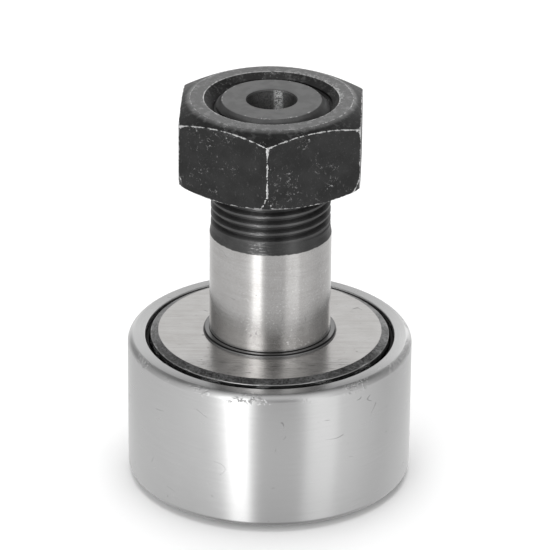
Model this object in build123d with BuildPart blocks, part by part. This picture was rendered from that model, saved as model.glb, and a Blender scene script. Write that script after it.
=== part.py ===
from build123d import *
import math
import os

# Stud-type cam follower with a 47 mm roller, lying head down: the head face is on
# z = 0, +Z runs along the stud to its threaded end, and the axis is the Z axis.
# All sizes in millimetres.

# --- overall ---------------------------------------------------------------------
ROLLER_RADIUS = 23.5
ROLLER_WIDTH = 24.0
FLANGE_STANDOFF = 0.75  # each flange stands this far proud of the roller
STUD_LENGTH = 66.7
HEIGHT_OVER_FLANGES = ROLLER_WIDTH + 2 * FLANGE_STANDOFF
ROLLER_BOTTOM = FLANGE_STANDOFF
ROLLER_TOP = ROLLER_BOTTOM + ROLLER_WIDTH
MID_PLANE = HEIGHT_OVER_FLANGES / 2

# --- flanges: the stud's head and the pressed washer are the same outside ----------
FLANGE_RADIUS = 19.72
FLANGE_THICKNESS = 3.0
FLANGE_CHAMFER_RADIAL = 1.27
FLANGE_CHAMFER_AXIAL = 0.6

# --- needle set --------------------------------------------------------------------
INNER_RACE_RADIUS = 12.5
OUTER_RACE_RADIUS = 16.5
NEEDLE_COUNT = 18
NEEDLE_RADIUS = 1.95
NEEDLE_LENGTH = 16.0
NEEDLE_END_RADIUS = 0.4
NEEDLE_PITCH_RADIUS = (INNER_RACE_RADIUS + OUTER_RACE_RADIUS) / 2
CAGE_INNER_RADIUS = 13.4
CAGE_OUTER_RADIUS = 15.9
CAGE_LENGTH = 18.7
POCKET_SIDE_PLAY = 0.06
POCKET_END_PLAY = 0.15

# --- outer ring --------------------------------------------------------------------
RING_RECESS_RADIUS = 20.6
RING_RECESS_DEPTH = 3.5
RING_EDGE_RADIUS = 1.1
RING_RECESS_CHAMFER = 0.15
RACE_CHAMFER = 0.3

# --- seal rings --------------------------------------------------------------------
SEAL_INNER_RADIUS = 16.7
SEAL_OUTER_RADIUS = 20.55
SEAL_LIP_INNER_RADIUS = 19.95
SEAL_GAP_TO_FLANGE = 0.1
SEAL_LIP_END = 1.7  # distance of the lip's end from the flange's outer face

# --- stud --------------------------------------------------------------------------
SEAT_RADIUS = 11.0
SEAT_PROUD = 0.45  # how far the seat stands above the washer's face
SEAT_TOP = HEIGHT_OVER_FLANGES + SEAT_PROUD
SEAT_CHAMFER = 0.25
SHANK_RADIUS = 10.0
SHANK_END = 43.4
RELIEF_RADIUS = 9.85
RELIEF_BOTTOM = SEAT_TOP - 0.1
SHANK_START = SEAT_TOP + 0.12
RACE_END_CHAMFER = 0.2
TAPER_END = 44.5
THREAD_START = 45.0
THREAD_PITCH = 1.5
THREAD_CREST_RADIUS = 9.8
THREAD_DEPTH = 0.87
THREAD_CREST_WIDTH = THREAD_PITCH / 8
FLANK_LENGTH = THREAD_DEPTH * math.tan(math.radians(30))
END_FACE_RADIUS = 8.05
END_CHAMFER = THREAD_CREST_RADIUS - END_FACE_RADIUS

HEX_SOCKET_FLATS = 8.0
HEX_SOCKET_DEPTH = 6.5
SOCKET_LEAD_IN = 0.4
NIPPLE_HOLE_RADIUS = 4.1
NIPPLE_HOLE_DEPTH = 12.0
CHANNEL_RADIUS = 2.5
CHANNEL_BOTTOM = MID_PLANE - 2.5
RACE_OIL_HOLE_RADIUS = 1.5
SHANK_OIL_HOLE_RADIUS = 2.0
SHANK_OIL_HOLE_Z = HEIGHT_OVER_FLANGES + 9.0

# --- nut ---------------------------------------------------------------------------
NUT_ACROSS_FLATS = 29.2
NUT_HEIGHT = 13.45
NUT_TOP = STUD_LENGTH + 0.25
NUT_BOTTOM = NUT_TOP - NUT_HEIGHT
NUT_TURN = -2.0  # turn of a corner from straight ahead, degrees
NUT_TOP_FACE_RADIUS = 13.2
NUT_BOTTOM_FACE_RADIUS = 14.0
NUT_CHAMFER_ANGLE = 24.5
NUT_BORE_RADIUS = 10.06  # clears the stud's thread crests
NUT_COUNTERSINK_RADIUS = 11.0
NUT_CORNER_RADIUS = NUT_ACROSS_FLATS / math.sqrt(3)


def washer_side(z):
    """The height that mirrors z about the roller's middle plane."""
    return HEIGHT_OVER_FLANGES - z


def thread_profile():
    """Radius and height points of the thread's ridges, from its start to the end chamfer."""
    points = []
    z = THREAD_START
    root = THREAD_CREST_RADIUS - THREAD_DEPTH
    root_width = THREAD_PITCH - THREAD_CREST_WIDTH - 2 * FLANK_LENGTH
    while z + THREAD_PITCH < STUD_LENGTH - END_CHAMFER:
        points += [
            (THREAD_CREST_RADIUS, z),
            (root, z + FLANK_LENGTH),
            (root, z + FLANK_LENGTH + root_width),
            (THREAD_CREST_RADIUS, z + 2 * FLANK_LENGTH + root_width),
        ]
        z += THREAD_PITCH
    return points


# Stud: head flange, raceway, washer seat, shank, blackened taper, thread and its bores.
with BuildPart() as stud:
    with BuildSketch(Plane.XZ):
        with BuildLine():
            Polyline(
                (0, 0),
                (FLANGE_RADIUS - FLANGE_CHAMFER_RADIAL, 0),
                (FLANGE_RADIUS, FLANGE_CHAMFER_AXIAL),
                (FLANGE_RADIUS, FLANGE_THICKNESS),
                (INNER_RACE_RADIUS, FLANGE_THICKNESS),
                (INNER_RACE_RADIUS, washer_side(FLANGE_THICKNESS) - RACE_END_CHAMFER),
                (INNER_RACE_RADIUS - RACE_END_CHAMFER, washer_side(FLANGE_THICKNESS)),
                (SEAT_RADIUS, washer_side(FLANGE_THICKNESS)),
                (SEAT_RADIUS, SEAT_TOP - SEAT_CHAMFER),
                (SEAT_RADIUS - SEAT_CHAMFER, SEAT_TOP),
                (SHANK_RADIUS, SEAT_TOP),
                (RELIEF_RADIUS, RELIEF_BOTTOM),
                (SHANK_RADIUS, SHANK_START),
                (SHANK_RADIUS, SHANK_END),
                (THREAD_CREST_RADIUS, TAPER_END),
                *thread_profile(),
                (THREAD_CREST_RADIUS, STUD_LENGTH - END_CHAMFER),
                (END_FACE_RADIUS, STUD_LENGTH),
                (0, STUD_LENGTH),
                close=True,
            )
        make_face()
    revolve(axis=Axis.Z)
    # hexagon socket in the head, with a conical lead-in and a drilled point
    with BuildSketch(Plane.XY):
        RegularPolygon(HEX_SOCKET_FLATS / 2, 6, major_radius=False)
    extrude(amount=HEX_SOCKET_DEPTH, mode=Mode.SUBTRACT)
    with BuildSketch(Plane.XZ):
        with BuildLine():
            socket_corner = HEX_SOCKET_FLATS / math.sqrt(3)
            Polyline(
                (0, 0),
                (socket_corner + SOCKET_LEAD_IN, 0),
                (0, socket_corner + SOCKET_LEAD_IN),
                close=True,
            )
        make_face()
    revolve(axis=Axis.Z, mode=Mode.SUBTRACT)
    # hole for a grease nipple in the threaded end, and the grease channel below it
    with BuildSketch(Plane.XY.offset(STUD_LENGTH)):
        Circle(NIPPLE_HOLE_RADIUS)
    extrude(amount=-NIPPLE_HOLE_DEPTH, mode=Mode.SUBTRACT)
    with BuildSketch(Plane.XY.offset(STUD_LENGTH)):
        Circle(CHANNEL_RADIUS)
    extrude(amount=CHANNEL_BOTTOM - STUD_LENGTH, mode=Mode.SUBTRACT)
    # cross holes on the far side: one feeds the needles, one takes oil from the housing
    with BuildSketch(Plane.XZ):
        with Locations((0, MID_PLANE)):
            Circle(RACE_OIL_HOLE_RADIUS)
    extrude(amount=-2 * INNER_RACE_RADIUS, mode=Mode.SUBTRACT)
    with BuildSketch(Plane.XZ):
        with Locations((0, SHANK_OIL_HOLE_Z)):
            Circle(SHANK_OIL_HOLE_RADIUS)
    extrude(amount=-2 * SHANK_RADIUS, mode=Mode.SUBTRACT)
stud.part.label = "stud"

# Flange washer: pressed on the stud's seat against the end of the raceway.
with BuildPart() as flange_washer:
    with BuildSketch(Plane.XZ):
        with BuildLine():
            Polyline(
                (SEAT_RADIUS, washer_side(FLANGE_THICKNESS)),
                (FLANGE_RADIUS, washer_side(FLANGE_THICKNESS)),
                (FLANGE_RADIUS, washer_side(FLANGE_CHAMFER_AXIAL)),
                (FLANGE_RADIUS - FLANGE_CHAMFER_RADIAL, washer_side(0)),
                (SEAT_RADIUS, washer_side(0)),
                close=True,
            )
        make_face()
    revolve(axis=Axis.Z)
flange_washer.part.label = "flange_washer"

# Outer ring: the roller, with a recess in each end and the raceway between them.
with BuildPart() as outer_ring:
    with BuildSketch(Plane.XZ) as ring_section:
        with BuildLine():
            Polyline(
                (RING_RECESS_RADIUS, ROLLER_BOTTOM),
                (ROLLER_RADIUS, ROLLER_BOTTOM),
                (ROLLER_RADIUS, ROLLER_TOP),
                (RING_RECESS_RADIUS, ROLLER_TOP),
                (RING_RECESS_RADIUS, ROLLER_TOP - RING_RECESS_DEPTH),
                (OUTER_RACE_RADIUS, ROLLER_TOP - RING_RECESS_DEPTH),
                (OUTER_RACE_RADIUS, ROLLER_BOTTOM + RING_RECESS_DEPTH),
                (RING_RECESS_RADIUS, ROLLER_BOTTOM + RING_RECESS_DEPTH),
                close=True,
            )
        make_face()
        corners = ring_section.vertices().group_by(Axis.X)
        mouths = corners[1].sort_by(Axis.Y)
        fillet(corners[-1], radius=RING_EDGE_RADIUS)
        chamfer([mouths[0], mouths[-1]], length=RING_RECESS_CHAMFER)
        chamfer(ring_section.vertices().group_by(Axis.X)[0], length=RACE_CHAMFER)
    revolve(axis=Axis.Z)
outer_ring.part.label = "outer_ring"

# Needle cage: a thin sleeve with one pocket for each needle.
with BuildPart() as needle_cage:
    with BuildSketch(Plane.XY.offset(MID_PLANE - CAGE_LENGTH / 2)):
        Circle(CAGE_OUTER_RADIUS)
        Circle(CAGE_INNER_RADIUS, mode=Mode.SUBTRACT)
    extrude(amount=CAGE_LENGTH)
    with Locations((0, 0, MID_PLANE)):
        with PolarLocations(NEEDLE_PITCH_RADIUS, NEEDLE_COUNT):
            Box(
                2 * (CAGE_OUTER_RADIUS - CAGE_INNER_RADIUS),
                2 * (NEEDLE_RADIUS + POCKET_SIDE_PLAY),
                NEEDLE_LENGTH + 2 * POCKET_END_PLAY,
                mode=Mode.SUBTRACT,
            )
needle_cage.part.label = "needle_cage"


def make_seal(label, height):
    """One seal ring: a flat ring behind the flange and a lip in the gap beside its rim."""
    with BuildPart() as seal:
        with BuildSketch(Plane.XZ):
            with BuildLine():
                back = ROLLER_BOTTOM + RING_RECESS_DEPTH
                front = FLANGE_THICKNESS + SEAL_GAP_TO_FLANGE
                Polyline(
                    (SEAL_INNER_RADIUS, height(back)),
                    (SEAL_OUTER_RADIUS, height(back)),
                    (SEAL_OUTER_RADIUS, height(SEAL_LIP_END)),
                    (SEAL_LIP_INNER_RADIUS, height(SEAL_LIP_END)),
                    (SEAL_LIP_INNER_RADIUS, height(front)),
                    (SEAL_INNER_RADIUS, height(front)),
                    close=True,
                )
            make_face()
        revolve(axis=Axis.Z)
    seal.part.label = label
    return seal


def make_needle(label, angle):
    """One needle roller with rounded ends, standing on the pitch circle at angle."""
    x = NEEDLE_PITCH_RADIUS * math.cos(math.radians(angle))
    y = NEEDLE_PITCH_RADIUS * math.sin(math.radians(angle))
    with BuildPart() as needle:
        with BuildSketch(Plane((x, y, MID_PLANE - NEEDLE_LENGTH / 2))):
            Circle(NEEDLE_RADIUS)
        extrude(amount=NEEDLE_LENGTH)
        fillet(needle.edges().filter_by(GeomType.CIRCLE), radius=NEEDLE_END_RADIUS)
    needle.part.label = label
    return needle


seals = [
    make_seal("head_side_seal", lambda z: z),
    make_seal("washer_side_seal", washer_side),
]
needles = [
    make_needle(f"needle_roller_{i + 1:02d}", i * 360 / NEEDLE_COUNT)
    for i in range(NEEDLE_COUNT)
]

# Hexagon nut: chamfered above and below, countersunk at both ends of its bore.
with BuildPart() as hex_nut:
    with BuildSketch(Plane.XY.offset(NUT_BOTTOM)):
        RegularPolygon(
            NUT_ACROSS_FLATS / 2, 6, major_radius=False, rotation=NUT_TURN + 30
        )
    extrude(amount=NUT_HEIGHT)
    with BuildSketch(Plane.XZ):
        slope = math.tan(math.radians(NUT_CHAMFER_ANGLE))
        top_drop = (NUT_CORNER_RADIUS - NUT_TOP_FACE_RADIUS) * slope
        bottom_rise = (NUT_CORNER_RADIUS - NUT_BOTTOM_FACE_RADIUS) * slope
        sink_depth = NUT_COUNTERSINK_RADIUS - NUT_BORE_RADIUS
        with BuildLine():
            Polyline(
                (NUT_COUNTERSINK_RADIUS, NUT_BOTTOM),
                (NUT_BOTTOM_FACE_RADIUS, NUT_BOTTOM),
                (NUT_CORNER_RADIUS, NUT_BOTTOM + bottom_rise),
                (NUT_CORNER_RADIUS, NUT_TOP - top_drop),
                (NUT_TOP_FACE_RADIUS, NUT_TOP),
                (NUT_COUNTERSINK_RADIUS, NUT_TOP),
                (NUT_BORE_RADIUS, NUT_TOP - sink_depth),
                (NUT_BORE_RADIUS, NUT_BOTTOM + sink_depth),
                close=True,
            )
        make_face()
    revolve(axis=Axis.Z, mode=Mode.INTERSECT)
hex_nut.part.label = "hex_nut"

os.makedirs("parts", exist_ok=True)
for piece in [stud, flange_washer, outer_ring, needle_cage, *seals, *needles, hex_nut]:
    export_step(piece.part, f"parts/{piece.part.label}.step")
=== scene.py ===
import math

import bmesh
import bpy
import numpy as np
from mathutils import Euler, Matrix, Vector


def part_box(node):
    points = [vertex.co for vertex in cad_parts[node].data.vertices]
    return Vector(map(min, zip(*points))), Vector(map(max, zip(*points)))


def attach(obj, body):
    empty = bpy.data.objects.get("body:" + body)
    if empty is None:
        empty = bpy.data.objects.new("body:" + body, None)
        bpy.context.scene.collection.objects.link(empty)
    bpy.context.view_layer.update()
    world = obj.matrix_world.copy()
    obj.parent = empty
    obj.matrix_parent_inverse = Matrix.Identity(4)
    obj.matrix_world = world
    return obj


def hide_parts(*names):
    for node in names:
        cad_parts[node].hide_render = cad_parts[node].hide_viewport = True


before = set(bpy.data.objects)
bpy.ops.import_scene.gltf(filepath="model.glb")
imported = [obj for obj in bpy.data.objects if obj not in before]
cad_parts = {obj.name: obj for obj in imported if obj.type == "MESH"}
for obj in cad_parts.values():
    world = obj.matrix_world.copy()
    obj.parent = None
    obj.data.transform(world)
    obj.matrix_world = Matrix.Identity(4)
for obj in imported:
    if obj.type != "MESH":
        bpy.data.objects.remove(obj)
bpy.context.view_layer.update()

MM = 0.001

# --------------------
# Sizes, in metres: the outer sizes are read from the CAD nodes, the small
# ones repeat the CAD model's own values
# --------------------
ring_low, ring_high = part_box("outer_ring")
washer_low, washer_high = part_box("flange_washer")
_, stud_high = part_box("stud")
nut_low, nut_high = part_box("hex_nut")
needle_low, needle_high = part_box("needle_roller_01")
cage_low, cage_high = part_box("needle_cage")

RING_RADIUS = ring_high.x
RING_BOTTOM, RING_TOP = ring_low.z, ring_high.z
FLANGE_FACE = RING_TOP + RING_BOTTOM  # the washer's outer face: the head's is at 0
FLANGE_RADIUS = washer_high.x
FLANGE_THICKNESS = FLANGE_FACE - washer_low.z
MID_PLANE = FLANGE_FACE / 2
STUD_TOP = stud_high.z
NUT_BOTTOM, NUT_TOP = nut_low.z, nut_high.z

RING_EDGE = 1.1 * MM
RECESS_RADIUS = 20.6 * MM
RECESS_DEPTH = 3.5 * MM
OUTER_RACE = 16.5 * MM
INNER_RACE = 12.5 * MM
NEEDLES = 18
CAGE_INNER = 13.4 * MM
CAGE_OUTER = 15.9 * MM
POCKET_SIDE_GAP = 0.06 * MM
POCKET_END_GAP = 0.15 * MM
NEEDLE_CROWN = 0.4 * MM
SEAL_OUTER = 20.55 * MM
SEAL_INNER = 16.7 * MM
SEAL_LIP_INNER = 19.95 * MM
SEAL_LIP_DEPTH = 1.7 * MM
SEAL_GAP = 0.1 * MM
FLANGE_CHAMFER_RADIAL = 1.27 * MM
FLANGE_CHAMFER_AXIAL = 0.6 * MM
SEAT_RADIUS = 11.0 * MM
SEAT_TOP = FLANGE_FACE + 0.45 * MM
SEAT_CHAMFER = 0.25 * MM
SHANK_RADIUS = 10.0 * MM
RELIEF_RADIUS = 9.85 * MM
SHANK_END = 43.4 * MM
TAPER_END = 44.5 * MM
THREAD_START = 44.46 * MM  # the helix is counted from here
THREAD_RUN_OUT = 45.2 * MM  # below this height it has no depth yet
THREAD_PITCH = 1.5 * MM
THREAD_CREST = 9.8 * MM
THREAD_ROOT = 8.93 * MM
CREST_HALF = 0.14  # half the width of the thread's crest, in pitches
FLANK_WIDTH = 0.25  # in pitches
END_FACE_RADIUS = 8.05 * MM
NUT_MINOR = 9.2 * MM
NUT_MAJOR = 10.05 * MM
NUT_FLATS = 29.2 * MM
NUT_TURN = -2.0  # degrees about the stud
NUT_TOP_FACE = 13.2 * MM
NUT_BOTTOM_FACE = 14.0 * MM
NUT_CHAMFER = math.tan(math.radians(24.5))
NUT_CORNER_FACET = 0.75 * MM
NUT_CORNER_FACET_HEIGHT = 3.3 * MM
COUNTERSINK = 11.0 * MM
NIPPLE_HOLE = 4.1 * MM
NIPPLE_DEPTH = 12.0 * MM
CHANNEL_RADIUS = 2.5 * MM
CHANNEL_BOTTOM = MID_PLANE - 2.5 * MM
SOCKET_FLATS = 8.0 * MM
SOCKET_DEPTH = 6.5 * MM
SOCKET_MOUTH = SOCKET_FLATS / math.sqrt(3) + 0.4 * MM
RACE_OIL_HOLE = 1.5 * MM
SHANK_OIL_HOLE = 2.0 * MM
SHANK_OIL_HOLE_Z = FLANGE_FACE + 9.0 * MM
OIL_HOLE_FLARE = 0.35 * MM

AROUND = 256  # columns round a turned piece
SHARP = 32  # degrees between faces that make a crease
MERGE = 0.002 * MM  # points of one piece that are closer than this are one point
FAR = 9.0  # mm from the nut's nearest edge, where it makes no difference


# --------------------
# Mesh building: every turned piece is a grid of rows (along the profile) and
# columns (round the axis)
# --------------------
def rounded(corners, closed, steps=4):
    """A profile as radius and height points, each corner (r, z, radius) rounded by an arc.
    A point just before and after each arc keeps the faces beside it flat in shading."""
    points = []
    count = len(corners)
    for i, (r, z, radius) in enumerate(corners):
        here = Vector((r, z))
        if radius == 0 or (not closed and i in (0, count - 1)):
            points.append(here)
            continue
        before = here - Vector(corners[i - 1][:2])
        after = Vector(corners[(i + 1) % count][:2]) - here
        room = 0.42 * min(before.length, after.length)
        before.normalize()
        after.normalize()
        turn = math.atan2(before.cross(after), before.dot(after))
        reach = min(radius * math.tan(abs(turn) / 2), room)
        radius = reach / math.tan(abs(turn) / 2)
        side = math.copysign(1, turn)
        heading = math.atan2(before.y, before.x)
        start = here - before * reach
        centre = start - side * radius * Vector((math.sin(heading), -math.cos(heading)))
        points.append(here - before * reach * 1.15)
        for k in range(steps + 1):
            a = heading + turn * k / steps
            points.append(centre + side * radius * Vector((math.sin(a), -math.cos(a))))
        points.append(here + after * reach * 1.15)
    return np.array([tuple(p) for p in points])


def add_point(mesh, radius, angle, height):
    return mesh.verts.new((float(radius * math.cos(angle)), float(radius * math.sin(angle)), float(height)))


def add_grid(mesh, rows_r, rows_z, angles, closed):
    """Adds rows x columns of faces to a bmesh. rows_r and rows_z are [row, column]."""
    rows, columns = rows_r.shape
    grid = []
    for r_row, z_row in zip(rows_r, rows_z):
        if r_row.max() < 1e-7:
            vertex = mesh.verts.new((0, 0, float(z_row[0])))
            grid.append([vertex] * columns)
            continue
        grid.append([add_point(mesh, r, a, z) for r, a, z in zip(r_row, angles, z_row)])
    for j in range(rows if closed else rows - 1):
        low, high = grid[j], grid[(j + 1) % rows]
        for i in range(columns):
            k = (i + 1) % columns
            corners = []
            for v in (low[i], low[k], high[k], high[i]):
                if v not in corners:
                    corners.append(v)
            if len(corners) > 2:
                mesh.faces.new(corners)


def smooth(data):
    """Shades a mesh smooth, but for its creases."""
    for polygon in data.polygons:
        polygon.use_smooth = True
    data.set_sharp_from_angle(angle=math.radians(SHARP))


def finish_mesh(mesh, name, merge=0.0):
    """Turns a bmesh into a smooth-shaded object."""
    if merge:
        bmesh.ops.remove_doubles(mesh, verts=mesh.verts, dist=merge)
        bmesh.ops.dissolve_degenerate(mesh, edges=mesh.edges, dist=merge / 10)
    bmesh.ops.recalc_face_normals(mesh, faces=mesh.faces)
    data = bpy.data.meshes.new(name)
    mesh.to_mesh(data)
    mesh.free()
    smooth(data)
    piece = bpy.data.objects.new(name, data)
    bpy.context.scene.collection.objects.link(piece)
    return piece


def even_angles(columns=AROUND):
    return np.arange(columns) * 2 * math.pi / columns


def turned(name, corners, closed=True, columns=AROUND, steps=4, centre=(0, 0)):
    """A turned piece from its rounded profile."""
    profile = rounded(corners, closed, steps)
    angles = even_angles(columns)
    mesh = bmesh.new()
    rows_r = np.repeat(profile[:, :1], columns, axis=1)
    rows_z = np.repeat(profile[:, 1:], columns, axis=1)
    add_grid(mesh, rows_r, rows_z, angles, closed)
    bmesh.ops.translate(mesh, verts=mesh.verts, vec=(*centre, 0))
    return finish_mesh(mesh, name)


def hexagon_radius(angles, flats, turn, corner):
    """The radius of a hexagon with rounded corners, at each angle. A corner is at turn + 90."""
    sixth = math.pi / 3
    half = flats / 2
    offset = (angles - math.radians(turn) - math.pi / 2) % sixth
    from_corner = np.minimum(offset, sixth - offset)
    straight = half / np.cos(math.pi / 6 - from_corner)
    reach = (half - corner) / math.cos(math.pi / 6)
    inside = np.maximum(corner**2 - (reach * np.sin(from_corner)) ** 2, 0)
    arc = reach * np.cos(from_corner) + np.sqrt(inside)
    arc_ends = math.pi / 6 - math.atan((half - corner) * math.tan(math.pi / 6) / half)
    return np.where(from_corner < arc_ends, arc, straight)


def hexagon_angles(flats, turn, corner, flat_steps, corner_steps):
    """Column angles that follow a rounded hexagon, dense at its corners."""
    half = flats / 2
    arc_ends = math.pi / 6 - math.atan((half - corner) * math.tan(math.pi / 6) / half)
    sixth = math.pi / 3
    one = [arc_ends * (2 * k / corner_steps - 1) for k in range(corner_steps)]
    one += [arc_ends + (sixth - 2 * arc_ends) * share for share in [0, *graded(0, 1, flat_steps)]]
    start = math.radians(turn) + math.pi / 2
    return np.array([start + sixth * n + a for n in range(6) for a in one])


def thread_depth(turns):
    """0 at the stud thread's crest to 1 at its root, for places in turns along the helix."""
    from_crest = np.abs((turns + 0.5) % 1 - 0.5)
    return np.clip((from_crest - CREST_HALF) / FLANK_WIDTH, 0, 1)


def add_thread(mesh, low, high, angles, radius_at, per_pitch=16):
    """Adds a right-hand helical surface between two heights: its rows follow the helix, and are held
    at both ends. radius_at(height, turns) counts turns along the helix from the stud thread's start."""
    columns = len(angles)
    lead = angles / (2 * math.pi)
    first = math.floor((low - THREAD_START) / THREAD_PITCH) - 2
    last = math.ceil((high - THREAD_START) / THREAD_PITCH) + 1
    grid = []
    for row in range((last - first) * per_pitch + 1):
        turns = first + row / per_pitch
        height = np.clip(THREAD_START + THREAD_PITCH * (turns + lead), low, high)
        radius = radius_at(height, turns)
        grid.append([add_point(mesh, r, a, z) for r, a, z in zip(radius, angles, height)])
    for row in range(len(grid) - 1):
        for i in range(columns):
            # past the last column the surface goes on a pitch further up, at the first column
            up, k = (0, i + 1) if i < columns - 1 else (per_pitch, 0)
            if row + 1 + up < len(grid):
                low_edge = (grid[row][i], grid[row + up][k])
                high_edge = (grid[row + 1 + up][k], grid[row + 1][i])
                mesh.faces.new([*low_edge, *high_edge])


def cut(piece, cutter):
    """Cuts one object from another and applies the cut."""
    modifier = piece.modifiers.new("cut", "BOOLEAN")
    modifier.operation = "DIFFERENCE"
    modifier.solver = "EXACT"
    modifier.object = cutter
    bpy.context.view_layer.update()
    evaluated = piece.evaluated_get(bpy.context.evaluated_depsgraph_get())
    result = bpy.data.meshes.new_from_object(evaluated)
    piece.modifiers.clear()
    piece.data = result
    bpy.data.objects.remove(cutter)
    smooth(result)


def place(piece, body, slot, *nodes):
    """Joins a finished piece to its body and hides its CAD nodes; slot is not used."""
    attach(piece, body)
    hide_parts(*nodes)


# --------------------
# Pieces
# --------------------
def ring_corner(end, inward):
    """The ring's rounded outer corner, from its end face to its rolling surface. Both are ground after
    the corner is turned, so the arc meets them at a slight angle. inward points into the ring."""
    steps, meets = 10, math.radians(16)
    half = math.pi / 4 - meets
    radius = RING_EDGE / math.sqrt(2) / math.sin(half)
    turns = [meets + 2 * half * k / steps for k in range(steps + 1)]
    return [
        (
            RING_RADIUS - RING_EDGE + radius * (math.sin(a) - math.sin(meets)),
            end + inward * radius * (math.cos(meets) - math.cos(a)),
            0,
        )
        for a in turns
    ]


def make_ring():
    fine = 0.12 * MM
    return turned(
        "roller_ring",
        [
            (RECESS_RADIUS, RING_BOTTOM, 0.2 * MM),
            *ring_corner(RING_BOTTOM, 1),
            *reversed(ring_corner(RING_TOP, -1)),
            (RECESS_RADIUS, RING_TOP, 0.2 * MM),
            (RECESS_RADIUS, RING_TOP - RECESS_DEPTH, fine),
            (OUTER_RACE, RING_TOP - RECESS_DEPTH, 0.3 * MM),
            (OUTER_RACE, RING_BOTTOM + RECESS_DEPTH, 0.3 * MM),
            (RECESS_RADIUS, RING_BOTTOM + RECESS_DEPTH, fine),
        ],
        steps=8,
    )


def make_washer():
    back = FLANGE_FACE - FLANGE_THICKNESS
    return turned(
        "pressed_washer",
        [
            (SEAT_RADIUS, back, 0.1 * MM),
            (FLANGE_RADIUS, back, 0.15 * MM),
            (FLANGE_RADIUS, FLANGE_FACE - FLANGE_CHAMFER_AXIAL, 0.14 * MM),
            (FLANGE_RADIUS - FLANGE_CHAMFER_RADIAL, FLANGE_FACE, 0.08 * MM),
            (SEAT_RADIUS, FLANGE_FACE, 0.04 * MM),
        ],
    )


def make_seal(name, height):
    """A flat ring with a lip in the gap round the flange. height turns a distance from the flange's
    outer face into a height, so one profile serves both ends."""
    back = RING_BOTTOM + RECESS_DEPTH
    front = FLANGE_THICKNESS + SEAL_GAP
    corners = [
        (SEAL_INNER, front),
        (SEAL_LIP_INNER, front),
        (SEAL_LIP_INNER, SEAL_LIP_DEPTH),
        (SEAL_OUTER, SEAL_LIP_DEPTH),
        (SEAL_OUTER, back),
        (SEAL_INNER, back),
    ]
    placed = [(r, height(z), 0.15 * MM) for r, z in corners]
    if height(0) > 0:
        placed.reverse()
    return turned(name, placed)


def make_needle(name, node):
    """A needle with crowned ends, where its CAD node is."""
    low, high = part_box(node)
    radius = (high.x - low.x) / 2
    return turned(
        name,
        [
            (0, low.z, 0),
            (radius, low.z, NEEDLE_CROWN),
            (radius, high.z, NEEDLE_CROWN),
            (0, high.z, 0),
        ],
        closed=False,
        columns=48,
        centre=((low.x + high.x) / 2, (low.y + high.y) / 2),
    )


def make_cage():
    """A sleeve with pockets: cells of a cylindrical grid, with a wall wherever a full cell meets an
    open one."""
    half_pocket = (needle_high.x - needle_low.x) / 2 + POCKET_SIDE_GAP
    pocket_low = needle_low.z - POCKET_END_GAP
    pocket_high = needle_high.z + POCKET_END_GAP
    half_angle = math.asin(half_pocket / ((CAGE_INNER + CAGE_OUTER) / 2))
    pocket_steps, web_steps = 6, 3
    angles, is_pocket = [], []
    for n in range(NEEDLES):
        middle = 2 * math.pi * n / NEEDLES
        web = 2 * math.pi / NEEDLES - 2 * half_angle
        for k in range(pocket_steps):
            angles.append(middle - half_angle + 2 * half_angle * k / pocket_steps)
            is_pocket.append(True)
        for k in range(web_steps):
            angles.append(middle + half_angle + web * k / web_steps)
            is_pocket.append(False)
    heights = [cage_low.z, pocket_low, pocket_high, cage_high.z]
    mesh = bmesh.new()
    columns = len(angles)
    corner = {}
    for side, radius in enumerate((CAGE_INNER, CAGE_OUTER)):
        for j, z in enumerate(heights):
            for i, a in enumerate(angles):
                corner[side, j, i] = add_point(mesh, radius, a, z)

    def full(j, i):
        return 0 <= j < 3 and not (j == 1 and is_pocket[i % columns])

    for j in range(3):
        for i in range(columns):
            k = (i + 1) % columns
            if not full(j, i):
                continue
            for side in (0, 1):
                mesh.faces.new([corner[side, b, a] for b, a in ((j, i), (j, k), (j + 1, k), (j + 1, i))])
            for b, beyond in ((j, j - 1), (j + 1, j + 1)):
                if not full(beyond, i):
                    mesh.faces.new([corner[s, b, a] for s, a in ((0, i), (0, k), (1, k), (1, i))])
            for a, beyond in ((i, i - 1), (k, i + 1)):
                if not full(j, beyond):
                    mesh.faces.new([corner[s, b, a] for s, b in ((0, j), (1, j), (1, j + 1), (0, j + 1))])
    loose = [v for v in mesh.verts if not v.link_faces]
    bmesh.ops.delete(mesh, geom=loose, context="VERTS")
    piece = finish_mesh(mesh, "cage_sleeve")
    bevel = piece.modifiers.new("bevel", "BEVEL")
    bevel.width = 0.12 * MM
    bevel.segments = 2
    bevel.limit_method = "ANGLE"
    bevel.angle_limit = math.radians(40)
    return piece


def stud_thread_radius(height, turns):
    """The stud's thread: it deepens over half a turn, and the end chamfer cuts it back."""
    run_out = np.clip((height - THREAD_RUN_OUT) / (0.5 * THREAD_PITCH), 0, 1)
    radius = THREAD_CREST - (THREAD_CREST - THREAD_ROOT) * thread_depth(turns) * run_out
    return np.minimum(radius, END_FACE_RADIUS + STUD_TOP - height)


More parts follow.
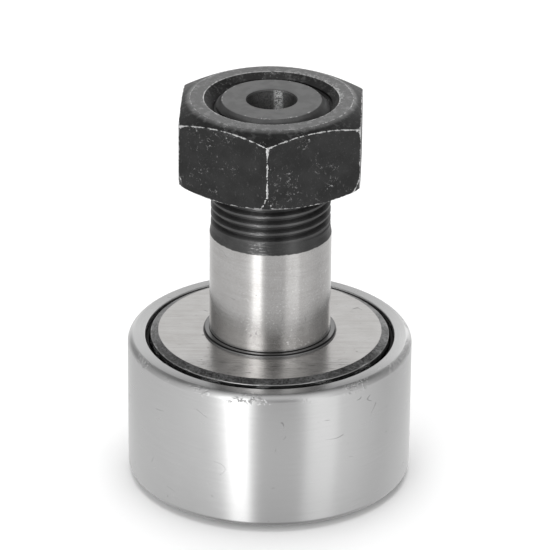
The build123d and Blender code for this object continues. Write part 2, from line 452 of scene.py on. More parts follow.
def make_stud():
    """Head, raceway, seat and shank are turned; then the thread, the end and its bores."""
    angles = even_angles()
    mesh = bmesh.new()
    fine = 0.08 * MM
    socket = hexagon_radius(angles, SOCKET_FLATS, 30, 0.1 * MM)
    wall_top = SOCKET_MOUTH - socket
    ones = np.ones_like(angles)
    rows = [
        (0 * ones, (SOCKET_DEPTH + 0.8 * MM) * ones),
        (0.97 * socket, SOCKET_DEPTH * ones),
        (socket, SOCKET_DEPTH * ones - 0.1 * MM),
        (socket, wall_top + 0.15 * MM),
        (socket, wall_top),
        (SOCKET_MOUTH - (SOCKET_MOUTH - socket) * 0.5, wall_top * 0.5),
    ]
    profile = rounded(
        [
            (SOCKET_MOUTH - 0.15 * MM, 0.15 * MM, 0),
            (SOCKET_MOUTH, 0, fine),
            (FLANGE_RADIUS - FLANGE_CHAMFER_RADIAL, 0, fine),
            (FLANGE_RADIUS, FLANGE_CHAMFER_AXIAL, fine),
            (FLANGE_RADIUS, FLANGE_THICKNESS, fine),
            (INNER_RACE, FLANGE_THICKNESS, fine),
            (INNER_RACE, FLANGE_FACE - FLANGE_THICKNESS, 0.2 * MM),
            (SEAT_RADIUS, FLANGE_FACE - FLANGE_THICKNESS, fine),
            (SEAT_RADIUS, SEAT_TOP - SEAT_CHAMFER, 0.04 * MM),
            (SEAT_RADIUS - SEAT_CHAMFER, SEAT_TOP, 0.04 * MM),
            (SHANK_RADIUS + 0.05 * MM, SEAT_TOP, fine),
            (RELIEF_RADIUS, SEAT_TOP - 0.1 * MM, 0),
            (SHANK_RADIUS, SEAT_TOP + 0.12 * MM, fine),
            (SHANK_RADIUS, SHANK_END, 0.5 * MM),
            (THREAD_CREST, TAPER_END, 0.5 * MM),
            (THREAD_CREST, THREAD_START, 0),
        ],
        closed=False,
    )
    rows += [(r * ones, z * ones) for r, z in profile]
    add_grid(mesh, np.array([r for r, _ in rows]), np.array([z for _, z in rows]), angles, False)
    add_thread(mesh, THREAD_START, STUD_TOP, angles, stud_thread_radius)
    end = rounded(
        [
            (END_FACE_RADIUS, STUD_TOP, 0),
            (NIPPLE_HOLE, STUD_TOP, 0.25 * MM),
            (NIPPLE_HOLE, STUD_TOP - NIPPLE_DEPTH, fine),
            (CHANNEL_RADIUS, STUD_TOP - NIPPLE_DEPTH - 1.0 * MM, fine),
            (CHANNEL_RADIUS, CHANNEL_BOTTOM, 0.2 * MM),
            (0, CHANNEL_BOTTOM, 0),
        ],
        closed=False,
    )
    add_grid(mesh, *(np.repeat(end[:, n : n + 1], AROUND, axis=1) for n in (0, 1)), angles, False)
    piece = finish_mesh(mesh, "stud_body", merge=MERGE)
    for height, radius, surface in (
        (MID_PLANE, RACE_OIL_HOLE, INNER_RACE),
        (SHANK_OIL_HOLE_Z, SHANK_OIL_HOLE, SHANK_RADIUS),
    ):
        drill = turned(
            "drill",
            [
                (0, 0, 0),
                (radius, 0, 0),
                (radius, surface - OIL_HOLE_FLARE, 0),
                (radius + 2 * OIL_HOLE_FLARE, surface + OIL_HOLE_FLARE, 0),
                (0, surface + OIL_HOLE_FLARE, 0),
            ],
            closed=False,
            columns=64,
        )
        drill.rotation_euler = Euler((-math.pi / 2, 0, 0))
        drill.location = (0, 0, height)
        cut(piece, drill)
    return piece


def nut_thread_radius(height, turns):
    """The nut's own thread: it follows the stud's with a little room, and a cone opens each end."""
    radius = NUT_MAJOR - (NUT_MAJOR - NUT_MINOR) * thread_depth(turns)
    from_end = np.minimum(NUT_TOP - height, height - NUT_BOTTOM)
    return np.maximum(radius, COUNTERSINK - from_end)


def graded(low, high, steps):
    """Shares from low to high, closer together towards both ends."""
    return [low + (high - low) * (1 - math.cos(math.pi * k / steps)) / 2 for k in range(1, steps)]


def spread(points, start, steps):
    """Adds graded points to a profile between its points start and start + 1."""
    a, b = points[start], points[start + 1]
    extra = [a + (b - a) * t for t in graded(0, 1, steps)]
    return np.concatenate([points[: start + 1], extra, points[start + 1 :]])


def make_nut():
    """Each column of the nut is a profile whose outer radius follows the hexagon, so its chamfers cut
    the flats in their true curves. The attribute edge holds the distance to the nearest edge, in mm."""
    corner, edge = 0.35 * MM, 0.16 * MM
    angles = hexagon_angles(NUT_FLATS, NUT_TURN, corner, 30, 6)
    outside = hexagon_radius(angles, NUT_FLATS, NUT_TURN, corner)
    corner_radius = outside.max()
    lead_in = 0.3 * MM
    columns, edges = [], []
    for angle, radius in zip(angles, outside):
        low_edge = NUT_BOTTOM + (radius - NUT_BOTTOM_FACE) * NUT_CHAMFER
        high_edge = NUT_TOP - (radius - NUT_TOP_FACE) * NUT_CHAMFER
        corners = [
            (COUNTERSINK - lead_in, NUT_BOTTOM + lead_in, 0),
            (COUNTERSINK, NUT_BOTTOM, edge),
            (NUT_BOTTOM_FACE, NUT_BOTTOM, edge),
            (radius, low_edge, edge),
            (radius, high_edge, edge),
            (NUT_TOP_FACE, NUT_TOP, 0.8 * MM),
            (COUNTERSINK, NUT_TOP, edge),
            (COUNTERSINK - lead_in, NUT_TOP - lead_in, 0),
        ]
        profile = rounded(corners, closed=False)
        arc = 7  # points that each rounded corner makes
        for start, steps in ((5 * arc, 8), (4 * arc, 10), (3 * arc, 22), (2 * arc, 4), (arc, 6)):
            profile = spread(profile, start, steps)
        columns.append(profile)
        sixth = math.pi / 3
        off = (angle - math.radians(NUT_TURN) - math.pi / 2) % sixth
        sideways = radius * min(off, sixth - off)
        left = 1 - (profile[:, 1] - NUT_BOTTOM) / NUT_CORNER_FACET_HEIGHT
        facet = NUT_CORNER_FACET * np.clip(left, 0, 1)
        facet_plane = (corner_radius - facet) / math.cos(min(off, sixth - off))
        to_corner = np.hypot(sideways - facet * math.tan(math.pi / 3), radius - profile[:, 0])
        profile[:, 0] = np.minimum(profile[:, 0], facet_plane)
        on_side = (profile[:, 1] > low_edge - edge) & (profile[:, 1] < high_edge + edge)
        distance = np.where(on_side, to_corner, FAR * MM)
        for r, z, _ in corners[1:-1]:
            distance = np.minimum(distance, np.hypot(profile[:, 0] - r, profile[:, 1] - z))
        edges.append(distance)
    grid = np.array(columns)
    mesh = bmesh.new()
    near = mesh.verts.layers.float.new("edge")
    add_grid(mesh, grid[:, :, 0].T, grid[:, :, 1].T, angles, False)
    for vertex, distance in zip(mesh.verts, np.array(edges).T.ravel()):
        vertex[near] = distance / MM
    outer_count = len(mesh.verts)
    add_thread(mesh, NUT_BOTTOM + lead_in, NUT_TOP - lead_in, angles, nut_thread_radius, per_pitch=12)
    mesh.verts.ensure_lookup_table()
    for vertex in mesh.verts[outer_count:]:
        vertex[near] = FAR
    return finish_mesh(mesh, "hexagon_nut", merge=MERGE)


ring = make_ring()
place(ring, "roller", "ring_steel", "outer_ring")
washer = make_washer()
place(washer, "stud_assembly", "washer_steel", "flange_washer")
stud = make_stud()
place(stud, "stud_assembly", "stud_steel", "stud")
nut = make_nut()
place(nut, "nut", "black_oxide", "hex_nut")
head_seal = make_seal("head_seal", lambda z: z)
place(head_seal, "roller", "seal_plastic", "head_side_seal")
washer_seal = make_seal("washer_seal", lambda z: FLANGE_FACE - z)
place(washer_seal, "roller", "seal_plastic", "washer_side_seal")
cage = make_cage()
place(cage, "cage", "cage_steel", "needle_cage")
needles = []
for number in range(1, NEEDLES + 1):
    node = f"needle_roller_{number:02d}"
    needle = make_needle(f"needle_{number:02d}", node)
    place(needle, node, "needle_steel", node)
    needles.append(needle)

# --------------------
# Materials: patterns are worked out from the place on the object, in mm
# --------------------
def feed(tree, value, socket):
    """Gives a socket its value: a number, a colour or another node's output."""
    if isinstance(value, bpy.types.NodeSocket):
        tree.links.new(value, socket)
    else:
        socket.default_value = value


class Shader:
    """One material's node tree, built with short calls. Values are numbers or node outputs."""

    def __init__(self, name, **settings):
        self.material = bpy.data.materials.new(name)
        self.material.use_nodes = True
        self.tree = self.material.node_tree
        self.surface = self.tree.nodes["Principled BSDF"]
        for words, value in settings.items():
            self.surface.inputs[words.replace("_", " ")].default_value = value
        where = self.add("ShaderNodeTexCoord").outputs["Object"]
        self.place = self.scaled(where, (1 / MM, 1 / MM, 1 / MM))
        parts = self.add("ShaderNodeSeparateXYZ")
        self.link(self.place, parts.inputs[0])
        self.x, self.y, self.z = parts.outputs
        squares = self.total(self.calc("POWER", self.x, 2), self.calc("POWER", self.y, 2))
        self.radius = self.calc("SQRT", squares)

    def add(self, kind, **settings):
        node = self.tree.nodes.new(kind)
        for key, value in settings.items():
            setattr(node, key, value)
        return node

    def link(self, value, socket):
        feed(self.tree, value, socket)

    def calc(self, operation, *values):
        node = self.add("ShaderNodeMath", operation=operation)
        for value, socket in zip(values, node.inputs):
            self.link(value, socket)
        return node.outputs[0]

    def product(self, *values):
        """All the values multiplied together."""
        result = values[0]
        for value in values[1:]:
            result = self.calc("MULTIPLY", result, value)
        return result

    def total(self, a, b):
        return self.calc("ADD", a, b)

    def less(self, a, b):
        return self.calc("SUBTRACT", a, b)

    def more_of(self, a, b):
        return self.calc("MAXIMUM", a, b)

    def away(self, value, middle):
        """How far a value is from a middle, on either side of it."""
        return self.calc("ABSOLUTE", self.less(value, middle))

    def scaled(self, vector, factors):
        node = self.add("ShaderNodeVectorMath", operation="MULTIPLY")
        self.link(vector, node.inputs[0])
        self.link(factors, node.inputs[1])
        return node.outputs[0]

    def joined(self, x, y, z):
        node = self.add("ShaderNodeCombineXYZ")
        for value, socket in zip((x, y, z), node.inputs):
            self.link(value, socket)
        return node.outputs[0]

    def noise(self, scale, detail=2.0, roughness=0.5, stretch=None, at=None):
        """A noise over the object, its axes scaled by stretch if that is given, or over the vector at."""
        if at is None:
            at = self.scaled(self.place, stretch) if stretch else self.place
        node = self.add("ShaderNodeTexNoise")
        self.link(at, node.inputs["Vector"])
        node.inputs["Scale"].default_value = scale
        node.inputs["Detail"].default_value = detail
        node.inputs["Roughness"].default_value = roughness
        return node.outputs["Fac"]

    def cells(self, scale, output="Distance"):
        node = self.add("ShaderNodeTexVoronoi")
        self.link(self.place, node.inputs["Vector"])
        node.inputs["Scale"].default_value = scale
        return node.outputs[output]

    def step(self, value, low, high, to_low=0.0, to_high=1.0):
        """A smooth step from to_low, at low and beyond it, to to_high, at high and beyond it. Low may be
        the greater of the two."""
        node = self.add("ShaderNodeMapRange", interpolation_type="SMOOTHSTEP")
        for socket, number in zip(node.inputs, (value, low, high, to_low, to_high)):
            self.link(number, socket)
        return node.outputs[0]

    def mixed(self, factor, a, b):
        """Colours or numbers a to b, by factor."""
        node = self.add("ShaderNodeMix", data_type="RGBA")
        sockets = [i for i in node.inputs if i.type == "RGBA"]
        self.link(factor, node.inputs[0])
        self.link(a, sockets[0])
        self.link(b, sockets[1])
        return [o for o in node.outputs if o.type == "RGBA"][0]

    def bump(self, height, depth, before=None):
        """A bump whose full height is depth, in mm."""
        node = self.add("ShaderNodeBump")
        node.inputs["Strength"].default_value = 1.0
        node.inputs["Distance"].default_value = depth * MM
        self.link(height, node.inputs["Height"])
        if before is not None:
            self.link(before, node.inputs["Normal"])
        return node.outputs[0]

    def scratches(self, stretch, scale, width, share):
        """Thin lines where a stretched noise crosses its middle, kept only in scattered places."""
        wave = self.noise(scale, 1.0, stretch=stretch)
        line = self.step(self.away(wave, 0.5), 0.0, width, 1.0, 0.0)
        where = self.step(self.noise(0.21, 3.0), 1 - share, 1.04 - share)
        return self.product(line, where)

    def specks(self, scale, size, share):
        """Small round spots in a share of the cells of a random pattern."""
        spot = self.step(self.cells(scale), 0.0, size, 1.0, 0.0)
        parts = self.add("ShaderNodeSeparateColor")
        self.link(self.cells(scale, "Color"), parts.inputs[0])
        return self.product(spot, self.calc("LESS_THAN", parts.outputs[0], share))

    def set(self, **links):
        for words, value in links.items():
            self.link(value, self.surface.inputs[words.replace("_", " ")])


def grey(value, warm=0.0):
    """A neutral colour, warmed or cooled a little."""
    return (value * (1 + warm), value, value * (1 - warm), 1)


def round_the_axis(shader):
    """Grinding marks run round the axis, so highlights spread across them."""
    shader.surface.inputs["Anisotropic Rotation"].default_value = 0.25
    tangent = shader.add("ShaderNodeTangent", direction_type="RADIAL", axis="Z")
    shader.set(Tangent=tangent.outputs[0])


def straight_marks(shader):
    """Marks of a surface grinder, straight along X."""
    return shader.noise(1.0, 4.0, 0.7, stretch=(0.12, 1.5, 1.5))


def turned_marks(shader, scale):
    """Fine marks round the axis: a noise that changes fast along the profile, slowly round it."""
    slow = 0.16
    vector = shader.joined(
        shader.product(shader.x, slow),
        shader.product(shader.y, slow),
        shader.product(shader.total(shader.z, shader.radius), scale),
    )
    return shader.noise(1.0, 3.0, 0.6, at=vector)


def ground_steel(
    name, shade, roughness, anisotropic, marks=3.0, contrast=0.03, wear=1.0, grain=0.3, warm=0.0
):
    """Ground bearing steel: fine marks round the axis, faint clouding, nicks and hairline scratches.
    If marks is 0 they run straight along X instead."""
    shader = Shader(name, Metallic=1.0, Anisotropic=anisotropic)
    fine = turned_marks(shader, marks) if marks else straight_marks(shader)
    cloud = shader.noise(0.22, 3.0)
    speckle = shader.product(shader.noise(3.2, 2.0, 0.6), grain)
    nicks = shader.specks(0.42, 0.07, 0.14)
    lines = shader.scratches((0.5, 0.5, 0.9), 0.24, 0.008, 0.40)
    damage = shader.more_of(nicks, shader.product(lines, 0.6))
    tone = shader.total(shader.product(fine, 0.55 - grain), shader.product(cloud, 0.45))
    tone = shader.total(tone, speckle)
    colour = shader.mixed(
        shader.step(tone, 0.3, 0.7),
        grey(shade * (1 - 2 * contrast), 2 * warm),
        grey(shade * (1 + 2 * contrast), warm),
    )
    shader.colour = shader.mixed(shader.product(damage, 0.5 * wear), colour, grey(shade * 0.4))
    shader.rough = shader.step(tone, 0.25, 0.75, roughness * 0.9, roughness * 1.12)
    shader.height = shader.less(shader.total(shader.product(fine, 0.25), speckle), damage)
    shader.normal = shader.bump(shader.height, 0.0022)
    shader.set(Base_Color=shader.colour, Roughness=shader.rough, Normal=shader.normal)
    round_the_axis(shader)
    return shader


def black_oxide(shader, dark, light):
    """Colour, roughness and height of black oxide on steel: slightly mottled, with a fine grain."""
    grain = shader.noise(5.0, 3.0, 0.65)
    cloud = shader.noise(0.35, 2.0)
    tone = shader.total(shader.product(grain, 0.5), shader.product(cloud, 0.5))
    colour = shader.mixed(shader.step(tone, 0.35, 0.65), grey(dark), grey(light))
    rough = shader.step(grain, 0.3, 0.7, 0.40, 0.56)
    return colour, rough, grain


def ring_steel():
    """The roller is ground all over but for its turned corners, which carry small bright dents."""
    shader = ground_steel("ground_ring_steel", 0.60, 0.25, 0.95, contrast=0.016, wear=1.8, grain=0.04)
    edge = RING_EDGE / MM
    below_face = shader.less(RING_TOP / MM, shader.z)
    corner = shader.product(
        shader.step(below_face, 0.02, 0.12),
        shader.step(below_face, edge, edge + 0.5, 1.0, 0.0),
    )
    rim = shader.step(shader.radius, RING_RADIUS / MM - edge, RING_RADIUS / MM - 0.6)
    where = shader.step(shader.noise(0.16, 2.0), 0.45, 0.58)
    dents = shader.step(shader.noise(1.5, 3.0, 0.7), 0.50, 0.62)
    dents = shader.product(dents, where, shader.product(corner, rim))
    shader.set(Normal=shader.bump(dents, 0.10, shader.normal))
    return shader.material


def washer_steel():
    """The washer's face is ground bright, and painted darker and faintly brown towards -Y: painted shade
    for the dimmer reflection there, with a faint stain. Its chamfer keeps the dark skin of its heat
    treatment."""
    shader = ground_steel(
        "ground_washer_steel", 0.62, 0.25, 0.0, marks=0, contrast=0.06, wear=2.2, grain=0.10, warm=0.014
    )
    stained = shader.step(shader.noise(1.3, 3.0, 0.7), 0.70, 0.75)
    pits = shader.more_of(shader.specks(0.8, 0.14, 0.2), stained)
    # Painted shade: towards -Y the face is painted darker and a little brown, standing in for the dimmer
    # reflection there, with a faint stain; fine dark dashes show only there.
    stain_and_painted_shade = shader.step(shader.noise(0.35, 3.0), 0.35, 0.6, 0.3, 1.0)
    stain_and_painted_shade = shader.product(stain_and_painted_shade, shader.step(shader.y, -9.5, -13.5, 0.0, 0.55))
    dashes = shader.noise(1.0, 3.0, 0.75, stretch=(0.5, 3.2, 3.2))
    dashes = shader.product(shader.step(dashes, 0.55, 0.61), stain_and_painted_shade)
    face = shader.mixed(stain_and_painted_shade, shader.colour, grey(0.44, 0.02))
    face = shader.mixed(dashes, face, grey(0.10, 0.05))
    face = shader.mixed(shader.product(pits, 0.8), face, grey(0.12, 0.05))

    outer = FLANGE_RADIUS / MM
    chamfer_start = outer - FLANGE_CHAMFER_RADIAL / MM
    chamfer_end = (FLANGE_FACE - FLANGE_CHAMFER_AXIAL) / MM
    ragged = shader.product(shader.noise(3.0, 2.0), 0.12)
    in_chamfer = shader.step(
        shader.total(shader.radius, ragged), chamfer_start + 0.02, chamfer_start + 0.12
    )
    above = shader.step(shader.total(shader.z, ragged), chamfer_end + 0.04, chamfer_end + 0.14)
    dark = shader.product(in_chamfer, above)
    skin = shader.total(
        shader.product(shader.noise(2.4, 3.0, 0.7), 0.6),
        shader.product(shader.noise(0.3, 2.0), 0.4),
    )
    fine_skin = shader.less(shader.noise(6.0, 2.0, 0.7), 0.5)
    skin = shader.total(skin, shader.product(fine_skin, 0.5))
    skin_colour = shader.mixed(shader.step(skin, 0.36, 0.66), grey(0.07), grey(0.32))

    rim_low = shader.step(shader.z, chamfer_end + 0.12, chamfer_end + 0.02)
    outermost = shader.step(shader.radius, outer - 0.4, outer - 0.2)
    hurt = shader.step(shader.noise(0.3, 2.0), 0.5, 0.6)
    burrs = shader.step(shader.noise(2.6, 3.0, 0.75), 0.46, 0.56)
    burrs = shader.product(burrs, hurt, shader.product(rim_low, outermost))
    skin_colour = shader.mixed(burrs, skin_colour, grey(0.95))
    face = shader.mixed(in_chamfer, face, grey(0.42))
    relief = shader.less(shader.product(burrs, 3.0), pits)
    shader.set(
        Normal=shader.bump(relief, 0.02, shader.normal),
        Base_Color=shader.mixed(dark, face, skin_colour),
        Roughness=shader.total(shader.rough, shader.product(dark, 0.16)),
    )
    return shader.material


def stud_black(shader):
    """The stud's black oxide, from the shank's end to the stud's end: dark in the thread, greyer on its
    crests and on the end face, worn bright in places, and with bright streaks painted on its crests as a
    highlight where the main light's reflection falls. Returns its colour, roughness and mask."""
    crest, start, top = THREAD_CREST / MM, THREAD_RUN_OUT / MM, STUD_TOP / MM
    black, rough, _ = black_oxide(shader, 0.8, 1.2)
    shade = shader.step(shader.radius, crest - 0.45, crest - 0.04, 0.10, 0.15)
    shade = shader.mixed(shader.step(shader.radius, crest - 0.05, crest - 0.01), shade, grey(0.165))
    shade = shader.mixed(shader.step(shader.z, start, start + 0.8), grey(0.11), shade)
    from_cone = shader.away(shader.total(shader.z, shader.radius), (STUD_TOP + END_FACE_RADIUS) / MM)
    shade = shader.mixed(shader.step(from_cone, 0.03, 0.12, 1.0, 0.0), shade, grey(0.13))
    black = shader.scaled(black, shade)

    streaky = shader.noise(1.9, 4.0, 0.75, stretch=(0.4, 0.4, 4.0))
    outermost = shader.step(shader.radius, crest - 0.3, crest - 0.05)
    rubbed = shader.product(shader.step(streaky, 0.54, 0.68, 0.0, 0.4), outermost)
    # Painted highlight: bright streaks on the outermost crests, left of the middle on the -Y side, where
    # the main light's reflection falls; partly worn oxide.
    from_spot = shader.away(shader.x, -1.8)
    spot = shader.product(
        shader.step(from_spot, 0.3, 2.4, 0.6, 0.0), shader.step(shader.y, -4.0, -7.0)
    )
    scraped_and_painted_highlight = shader.product(shader.step(streaky, 0.53, 0.60), shader.product(spot, outermost))
    black = shader.mixed(rubbed, black, grey(0.22))
    black = shader.mixed(scraped_and_painted_highlight, black, grey(0.62))

    end = shader.step(shader.z, top - 0.12, top - 0.02)
    stain = shader.step(shader.noise(0.55, 3.0), 0.4, 0.6)
    black = shader.mixed(end, black, shader.mixed(stain, grey(0.29), grey(0.33)))
    rim = shader.step(shader.radius, END_FACE_RADIUS / MM - 0.22, END_FACE_RADIUS / MM - 0.08)
    chipped = shader.step(shader.noise(0.9, 3.0, 0.7), 0.56, 0.62)
    black = shader.mixed(shader.product(rim, chipped, end), black, grey(0.7))

    ragged = shader.product(shader.noise(1.6, 3.0), 0.3)
    mask = shader.step(shader.total(shader.z, ragged), SHANK_END / MM + 0.1, SHANK_END / MM + 0.24)
    return black, shader.mixed(end, rough, grey(0.62)), mask


def stud_bores(shader):
    """The bare drilled steel in the lubrication hole: a painted glint, a streak of bright specks on its far
    side where the main light's reflection falls, and painted shade, near black, further down. Returns its
    colour, height and mask."""
    hole, top = NIPPLE_HOLE / MM, STUD_TOP / MM
    mask = shader.product(
        shader.step(shader.radius, hole + 0.02, hole + 0.1, 1.0, 0.0),
        shader.step(shader.z, top - 0.3, top - 0.2, 1.0, 0.0),
    )
    drilled = shader.noise(3.4, 3.0, 0.8)
    # Painted glint: bright specks in a streak on the far wall, where the main light's reflection falls.
    painted_glint_streak = shader.product(
        shader.step(shader.away(shader.x, 1.1), 0.4, 1.0, 1.0, 0.0),
        shader.step(shader.y, 0.5, 2.0),
    )
    painted_glints = shader.product(shader.step(drilled, 0.43, 0.50), painted_glint_streak)
    colour = shader.mixed(shader.step(drilled, 0.3, 0.7), grey(0.16), grey(0.32))
    colour = shader.mixed(painted_glints, colour, grey(0.98))
    # Painted shade: near black further down the bore, where shade falls inside the hole.
    painted_depth_shade = shader.step(shader.z, top - 3.3, top - 4.1)
    return shader.mixed(painted_depth_shade, colour, grey(0.05)), drilled, mask


def stud_steel():
    """Bright ground shank and a darker seat and chamfer at its foot, with near-black painted shade at the
    chamfer's lower edge and where the shank meets the seat, and bright flecks near the foot that are partly
    painted sparkle. Black oxide above the shank, and bare steel in the lubrication hole and the socket,
    with a painted glint in the hole and painted shade further down."""
    shader = ground_steel(
        "stud_steel", 0.48, 0.18, 0.93, marks=2.4, contrast=0.06, wear=1.5, grain=0.26, warm=0.012
    )
    black, black_rough, blackened = stud_black(shader)
    bore_colour_and_painted_light, drilled, in_bore = stud_bores(shader)

    # Painted sparkle: bright flecks, denser towards the foot and from the main highlight towards +X,
    # standing in for glints at the highlight's edge; partly bright flecks of metal.
    flecks_and_painted_sparkle = shader.step(shader.noise(2.9, 3.0, 0.75), 0.57, 0.67, 0.0, 0.7)
    patches = shader.product(
        shader.step(shader.noise(0.24, 3.0), 0.42, 0.56, 0.15, 1.0),
        shader.step(shader.z, 42.0, 27.0, 0.3, 1.0),
        shader.step(shader.x, -6.5, -3.0, 0.3, 1.0),
    )
    base = shader.mixed(shader.product(flecks_and_painted_sparkle, patches), shader.colour, grey(0.95))

    seat, flange = SEAT_TOP / MM, FLANGE_FACE / MM
    foot = shader.product(
        shader.step(shader.z, seat + 0.05, seat + 0.15, 1.0, 0.0),
        shader.step(shader.z, flange - 1.2, flange - 1.1),
    )
    base = shader.mixed(foot, base, grey(0.25))
    # Painted shade: near black at the lower edge of the seat's chamfer and where the shank meets the seat,
    # where shade falls in the gaps.
    chamfer_top = (SEAT_RADIUS - SEAT_CHAMFER) / MM
    chamfer_low = (SEAT_TOP - SEAT_CHAMFER) / MM
    groove_painted_shade = shader.product(
        shader.step(shader.radius, chamfer_top - 0.06, chamfer_top),
        shader.step(shader.z, chamfer_low + 0.01, chamfer_low + 0.09),
        foot,
    )
    shank = SHANK_RADIUS / MM
    undercut_painted_shade = shader.product(foot, shader.step(shader.radius, shank, shank + 0.08, 0.75, 0.0))
    base = shader.mixed(shader.more_of(groove_painted_shade, undercut_painted_shade), base, grey(0.02))

    top = STUD_TOP / MM
    shader.set(
        Anisotropic=shader.step(shader.z, top - 0.6, top - 0.3, 0.93, 0.0),
        Base_Color=shader.mixed(in_bore, shader.mixed(blackened, base, black), bore_colour_and_painted_light),
        Roughness=shader.mixed(in_bore, shader.mixed(blackened, shader.rough, black_rough), grey(0.36)),
        Normal=shader.bump(shader.product(drilled, in_bore), 0.10, shader.bump(shader.height, 0.004)),
    )
    return shader.material


def nut_worn_edges(shader):
    """How far the nut's edges are rubbed bright: in wandering, broken lines, wider at both ends of the
    corners, and fainter round the top. Returns that and the noise which breaks the lines."""
    near = shader.add("ShaderNodeAttribute", attribute_name="edge").outputs["Fac"]
    wander = shader.less(shader.noise(1.3, 4.0, 0.7), 0.5)
    near = shader.calc("ABSOLUTE", shader.total(near, shader.product(wander, 0.7)))
    breakup = shader.noise(1.7, 4.0, 0.75)
    patches = shader.noise(0.28, 2.0)
    reach = shader.step(breakup, 0.34, 0.70, 0.06, 0.16)
    reach = shader.product(reach, shader.step(patches, 0.35, 0.65, 0.7, 1.3))

    low, high, flats = NUT_BOTTOM / MM, NUT_TOP / MM, NUT_FLATS / MM
    corner_top = high - (NUT_FLATS / math.sqrt(3) - NUT_TOP_FACE) * NUT_CHAMFER / MM
    at_corner = shader.product(
        shader.more_of(
            shader.step(shader.away(shader.z, corner_top), 0.2, 1.6, 1.0, 0.0),
            shader.step(shader.z, low + 3.0, low + 4.0, 0.4, 0.0),
        ),
        shader.step(shader.radius, flats * 0.556, flats * 0.568),
    )
    reach = shader.product(reach, shader.total(1.0, shader.product(at_corner, 1.3)))
    face = NUT_TOP_FACE / MM
    on_top = shader.product(
        shader.step(shader.z, high - 0.5, high - 0.2),
        shader.step(shader.radius, face - 0.8, face - 0.6, 0.15, 0.65),
    )
    reach = shader.product(reach, shader.less(1.0, on_top))
    return shader.step(shader.calc("DIVIDE", near, reach), 0.6, 1.1, 1.0, 0.0), breakup


def nut_black():
    """Black oxide, rubbed through to bright steel in broken lines along the edges and in specks; the upper
    chamfer cone is painted lighter in patches, partly rubbed oxide and partly a painted reflection.
    """
    shader = Shader("nut_black_oxide", Metallic=0.85, Anisotropic=0.0)
    colour, rough, grain = black_oxide(shader, 0.030, 0.046)
    worn_edges, breakup = nut_worn_edges(shader)
    clusters = shader.step(shader.noise(0.24, 3.0), 0.49, 0.60, 0.12, 1.0)
    flecks = shader.noise(1.7, 4.0, 0.75, stretch=(1.0, 1.0, 0.75))
    chips = shader.product(shader.step(flecks, 0.61, 0.68), clusters)
    wave = shader.noise(0.6, 4.0, 0.65)
    lines = shader.step(shader.away(wave, 0.5), 0.0, 0.014, 1.0, 0.0)
    lines = shader.product(lines, clusters, shader.step(breakup, 0.5, 0.6))
    worn = shader.more_of(worn_edges, shader.product(shader.more_of(chips, lines), 0.5))

    high, mouth = NUT_TOP / MM, COUNTERSINK / MM
    rubbed = shader.step(shader.noise(0.9, 4.0, 0.7), 0.5, 0.64)
    # The upper chamfer cone is painted lighter in patches: partly rubbed oxide, partly a painted reflection
    # of a bright panel.
    cone = shader.step(shader.z, high - 1.6, high - 0.7)
    colour = shader.mixed(shader.product(cone, rubbed, 0.35), colour, grey(0.2))
    top = shader.product(
        shader.step(shader.z, high - 0.45, high - 0.04),
        shader.step(shader.radius, mouth - 0.12, mouth - 0.02),
    )
    colour = shader.mixed(top, colour, shader.mixed(rubbed, grey(0.21), grey(0.31)))
    scuffed = shader.product(
        shader.step(shader.radius, mouth + 1.3, mouth + 0.2),
        shader.step(shader.x, 1.0, 5.0),
        shader.step(shader.y, -4.0, 1.0),
        top,
        shader.step(flecks, 0.5, 0.58),
    )
    worn = shader.more_of(worn, shader.product(scuffed, 0.7))
    shader.set(
        Base_Color=shader.mixed(worn, colour, grey(0.62)),
        Roughness=shader.mixed(worn, rough, grey(0.34)),
        Normal=shader.bump(shader.less(shader.product(grain, 0.5), worn), 0.018),
    )
    return shader.material


def seal_plastic():
    """Black moulded plastic with a faint sheen and fine grain."""
    shader = Shader("seal_plastic", Metallic=0.0)
    grain = shader.noise(6.0, 2.0)
    shader.surface.inputs["Specular IOR Level"].default_value = 0.3
    shader.set(
        Base_Color=shader.mixed(grain, grey(0.003), grey(0.009)),
        Roughness=shader.step(grain, 0.3, 0.7, 0.55, 0.7),
        Normal=shader.bump(grain, 0.01),
    )
    return shader.material


def coat(material, *pieces):
    for piece in pieces:
        piece.data.materials.clear()
        piece.data.materials.append(material)


coat(ring_steel(), ring)
coat(washer_steel(), washer)
coat(stud_steel(), stud)
coat(nut_black(), nut)
coat(seal_plastic(), head_seal, washer_seal)
coat(ground_steel("cage_steel", 0.42, 0.4, 0.3).material, cage)
coat(ground_steel("needle_steel", 0.70, 0.14, 0.3, marks=5.0).material, *needles)

# --------------------
# Floor, light and camera
# --------------------
FLOOR_HALF_SIDE = 3.0
FLOOR_WHITE = 0.9

floor_mesh = bmesh.new()
bmesh.ops.create_grid(floor_mesh, x_segments=2, y_segments=2, size=FLOOR_HALF_SIDE)
floor = finish_mesh(floor_mesh, "floor")
floor.visible_glossy = False
floor_material = bpy.data.materials.new("floor_white")
floor_material.use_nodes = True
paper = floor_material.node_tree.nodes["Principled BSDF"]
paper.inputs["Base Color"].default_value = grey(FLOOR_WHITE)
paper.inputs["Roughness"].default_value = 0.9
paper.inputs["Specular IOR Level"].default_value = 0.2
floor.data.materials.append(floor_material)

CAMERA_DISTANCE = 0.698
CAMERA_ELEVATION = 25.41  # degrees above the horizon
CAMERA_ROLL = 0.49  # degrees
CAMERA_LENS = 277.9  # mm, on a 36 mm sensor
CAMERA_TARGET = Vector((0.00078, 0, 0.03529))

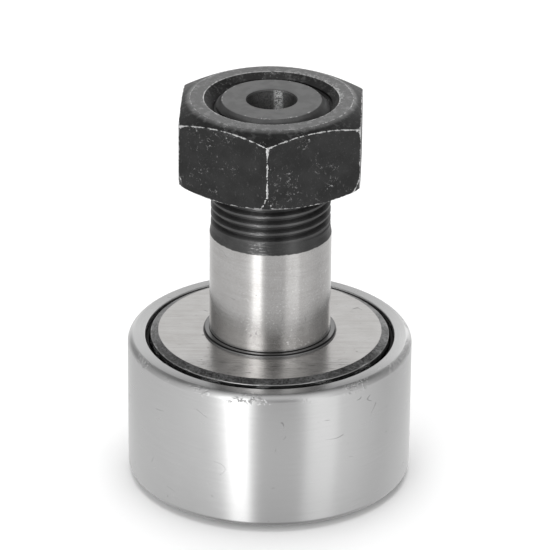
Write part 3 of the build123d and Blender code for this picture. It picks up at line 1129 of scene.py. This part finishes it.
camera_data = bpy.data.cameras.new("camera")
camera = bpy.data.objects.new("camera", camera_data)
bpy.context.scene.collection.objects.link(camera)
camera_data.sensor_width = 36
camera_data.lens = CAMERA_LENS
camera_data.clip_start = 0.05
camera_data.clip_end = 20
tilt = math.radians(CAMERA_ELEVATION)
camera.location = CAMERA_TARGET + CAMERA_DISTANCE * Vector((0, -math.cos(tilt), math.sin(tilt)))
aim = Euler((math.pi / 2 - tilt, 0, 0)).to_quaternion()
camera.rotation_euler = (aim @ Euler((0, 0, math.radians(CAMERA_ROLL))).to_quaternion()).to_euler()
bpy.context.scene.camera = camera

# Light comes from all round, in soft panels: each stop is degrees round the horizon from the camera's
# side, towards +X, and brightness. Below the horizon TABLE holds their soft light, but for the dim spot
# under the part. Above it PANELS stand out against the dim room, with one more panel high over the
# camera's side.
TABLE = [
    (-180, 1.0), (-160, 0.85), (-136, 0.77), (-104, 0.8), (-70, 0.87), (-50, 0.93), (-42, 1.06),
    (-36, 1.4), (-30, 2.25), (-19, 2.3), (-14, 1.2), (-8, 0.8), (-2, 0.76), (16, 0.76), (24, 0.77),
    (28, 0.84), (31, 1.03), (37, 1.16), (46, 1.2), (54, 1.24), (58, 0.97), (74, 0.88), (80, 0.83),
    (104, 0.7), (136, 0.78), (160, 0.88), (180, 1.0),
]
PANELS = [
    (-180, 0.85), (-172, 0.8), (-161, 1.1), (-148, 0.35), (-130, 0.32), (-105, 0.5), (-77, 0.7),
    (-52, 0.95), (-44, 1.4), (-38, 2.3), (-31, 2.8), (-20, 2.8), (-15, 2.0), (-9, 0.7), (-3, 0.4),
    (7, 0.3), (20, 0.34), (25, 0.7), (30, 1.2), (42, 1.2), (55, 0.8), (70, 0.7), (90, 0.5),
    (115, 0.35), (145, 0.4), (159, 1.5), (171, 0.85), (180, 0.85),
]
world = bpy.data.worlds.new("studio")
bpy.context.scene.world = world
world.use_nodes = True
sky = world.node_tree


def sky_node(kind, *values, **settings):
    node = sky.nodes.new(kind)
    for key, value in settings.items():
        setattr(node, key, value)
    for value, socket in zip(values, node.inputs):
        feed(sky, value, socket)
    return node


direction = sky_node("ShaderNodeSeparateXYZ", sky_node("ShaderNodeTexCoord").outputs["Generated"])
toward_camera = sky_node("ShaderNodeMath", direction.outputs[1], -1.0, operation="MULTIPLY")
round_angle = sky_node(
    "ShaderNodeMath", direction.outputs[0], toward_camera.outputs[0], operation="ARCTAN2"
)
share = sky_node("ShaderNodeMapRange", round_angle.outputs[0], -math.pi, math.pi, 0.0, 1.0)
brightest = max(value for _, value in TABLE + PANELS)


def ring_of_light(stops):
    """Brightness by the angle round the horizon, as a share of the brightest panel."""
    node = sky_node("ShaderNodeValToRGB", share.outputs[0])
    points = node.color_ramp.elements
    for number, (angle, value) in enumerate(stops):
        position = (angle + 180) / 360
        point = points[number] if number < 2 else points.new(position)
        point.position = position
        point.color = grey(value / brightest)
    return node.outputs[0]


def blend(factor, a, b):
    node = sky_node("ShaderNodeMix", factor)
    for socket, value in zip((i for i in node.inputs if i.type == "VALUE" and i.name in "AB"), (a, b)):
        feed(sky, value, socket)
    return node.outputs[0]


def between(value, low, high):
    """0 at low to 1 at high."""
    return sky_node("ShaderNodeMapRange", value, low, high, 0.0, 1.0).outputs[0]


UNDER_PART = 0.3
DARK_CEILING = 0.15
BRIGHT_CEILING = 0.85

up = direction.outputs[2]  # the sine of the angle above the horizon
table_level = blend(between(up, -0.97, -0.6), UNDER_PART / brightest, ring_of_light(TABLE))
low_and_level = blend(between(up, -0.12, 0.1), table_level, ring_of_light(PANELS))
ceiling = blend(
    between(toward_camera.outputs[0], -0.2, 0.25), DARK_CEILING / brightest, BRIGHT_CEILING / brightest
)
level = blend(between(up, 0.5, 0.8), low_and_level, ceiling)
strength = sky_node("ShaderNodeMath", level, brightest, operation="MULTIPLY")
background = sky.nodes["Background"]
background.inputs["Color"].default_value = (1, 1, 1, 1)
sky.links.new(strength.outputs[0], background.inputs["Strength"])

# A wide soft panel lights the floor from above and a little behind, and isn't mirrored in the steel.
OVERHEAD_PLACE = Vector((0.0, 0.22, 1.1))
OVERHEAD_WIDTH = 1.2
OVERHEAD_POWER = 11.2  # watts

overhead_data = bpy.data.lights.new("overhead_panel", "AREA")
overhead_data.shape = "DISK"
overhead_data.size = OVERHEAD_WIDTH
overhead_data.energy = OVERHEAD_POWER
overhead = bpy.data.objects.new("overhead_panel", overhead_data)
overhead.location = OVERHEAD_PLACE
overhead.rotation_euler = (-OVERHEAD_PLACE).to_track_quat("-Z", "Y").to_euler()
overhead.visible_glossy = False
bpy.context.scene.collection.objects.link(overhead)
bpy.context.scene.view_settings.view_transform = "Standard"
